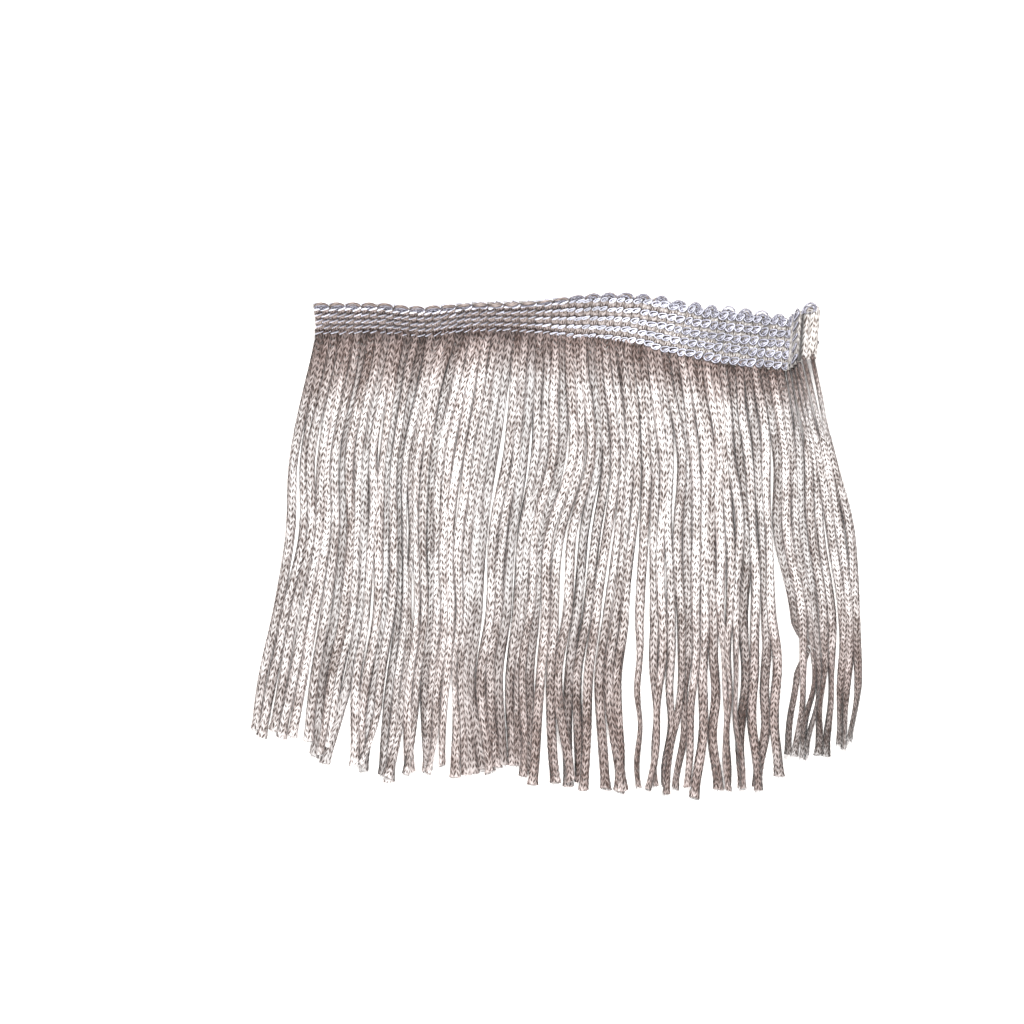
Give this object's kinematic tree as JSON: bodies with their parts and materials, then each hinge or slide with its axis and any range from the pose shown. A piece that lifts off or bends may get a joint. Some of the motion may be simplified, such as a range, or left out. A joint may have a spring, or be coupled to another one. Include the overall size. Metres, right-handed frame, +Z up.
{
  "type": "chainette fringe trim",
  "caption": "Short length of knitted fringe trim laid flat: a ribbed heading tape with a picot edge and a wide curtain of cut chainette strands.",
  "frame": {"origin": "centre of the box around the whole trim, on the surface that it lies on", "axes": "+X along the heading tape, +Y from the cut strand tips to the picot edge, +Z up off the surface, towards the trim's face"},
  "size_m": [0.1222, 0.1018, 0.0101],
  "materials": {
    "heading_yarn": "silky silver chain ribs over champagne chainette",
    "chainette": "silky champagne silver knitted cord"
  },
  "bodies": {
    "root": {"heading": "heading_yarn", "fringe": "chainette"}
  },
  "joints": []
}
